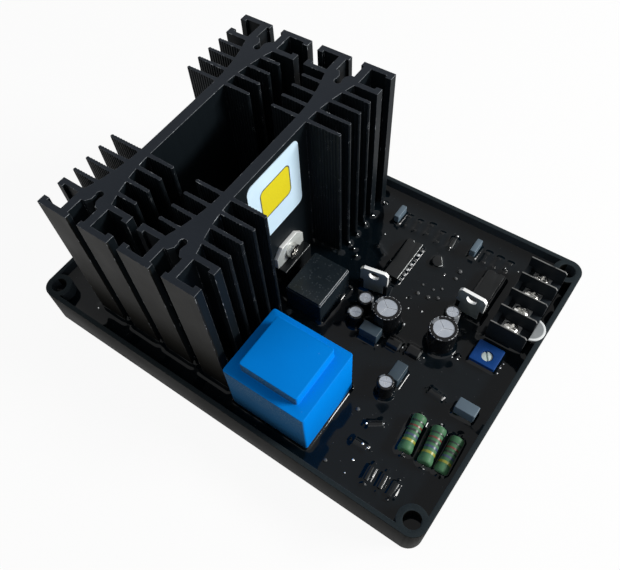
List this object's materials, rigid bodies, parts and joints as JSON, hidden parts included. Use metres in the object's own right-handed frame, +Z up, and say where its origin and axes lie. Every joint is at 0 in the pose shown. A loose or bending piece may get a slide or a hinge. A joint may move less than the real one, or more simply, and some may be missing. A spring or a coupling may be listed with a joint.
{
  "type": "automatic voltage regulator",
  "caption": "Potted voltage regulator module: shallow black tray with corner mounting holes, upright finned heatsinks, blue transformer, terminal block and trimmer",
  "frame": {"origin": "middle of the tray's base, on the mounting plane", "axes": "+X along the tray from the heatsinks to the terminal block, +Y across the tray away from the transformer, +Z up"},
  "size_m": [0.16, 0.115, 0.069],
  "materials": {
    "tray_plastic": "black satin moulded plastic",
    "board_laminate": "green glass-epoxy laminate",
    "potting_resin": "glossy near-black potting resin",
    "black_anodised": "black anodised extrusion",
    "zinc_steel": "zinc-plated steel",
    "tab_metal": "tinned copper tab",
    "device_black": "black epoxy moulding",
    "tinned_wire": "tinned metal",
    "label_white": "plain white film label",
    "transformer_blue": "bright blue moulding",
    "relay_black": "black moulding",
    "can_aluminium": "bare aluminium",
    "sleeve_black": "black shrink sleeve",
    "film_grey": "light blue-grey moulding",
    "resistor_green": "mint-green coating",
    "trimmer_blue": "blue moulding",
    "rotor_white": "white moulding",
    "terminal_black": "black moulding",
    "tab_grey": "grey moulding",
    "coated_resistor": "coated film resistor"
  },
  "bodies": {
    "module": {"tray": "tray_plastic", "circuit_board": "board_laminate", "potting_compound": "potting_resin", "rear_heatsink": "black_anodised", "front_heatsink": "black_anodised", "heatsink_screws": "zinc_steel", "rear_power_tab": "tab_metal", "rear_power_body": "device_black", "rear_power_leads": "tinned_wire", "rear_power_screw": "zinc_steel", "front_power_tab": "tab_metal", "front_power_body": "device_black", "front_power_leads": "tinned_wire", "front_power_screw": "zinc_steel", "plain_label": "label_white", "transformer_case": "transformer_blue", "relay_case": "relay_black", "regulator_1_tab": "tab_metal", "regulator_1_body": "device_black", "regulator_1_leads": "tinned_wire", "regulator_2_tab": "tab_metal", "regulator_2_body": "device_black", "regulator_2_leads": "tinned_wire", "large_capacitor_1_can": "can_aluminium", "large_capacitor_1_sleeve": "sleeve_black", "large_capacitor_2_can": "can_aluminium", "large_capacitor_2_sleeve": "sleeve_black", "small_capacitor_1_can": "can_aluminium", "small_capacitor_1_sleeve": "sleeve_black", "small_capacitor_2_can": "can_aluminium", "small_capacitor_2_sleeve": "sleeve_black", "small_capacitor_3_can": "can_aluminium", "small_capacitor_3_sleeve": "sleeve_black", "small_capacitor_4_can": "can_aluminium", "small_capacitor_4_sleeve": "sleeve_black", "film_capacitor_1": "film_grey", "film_capacitor_2": "film_grey", "film_capacitor_3": "film_grey", "film_capacitor_4": "film_grey", "film_capacitor_5": "film_grey", "power_resistor_1": "resistor_green", "power_resistor_2": "resistor_green", "power_resistor_3": "resistor_green", "trimmer_body": "trimmer_blue", "terminal_block": "terminal_black", "terminal_plates": "tinned_wire", "terminal_screws": "zinc_steel", "half_round_tab": "tab_grey", "ic_1_body": "device_black", "ic_1_pins": "tinned_wire", "ic_2_body": "device_black", "ic_2_pins": "tinned_wire", "diodes": "device_black", "small_resistors": "coated_resistor", "small_transistor": "device_black", "component_leads": "tinned_wire"},
    "rotor": {"trimmer_rotor": "rotor_white"}
  },
  "joints": [
    {"name": "trimmer_turn", "type": "hinge", "parent": "module", "child": "rotor", "pos_m": [0.0676, 0.00862, 0.0132], "axis": [0, 0, 1], "range_deg": [-135, 135]}
  ]
}
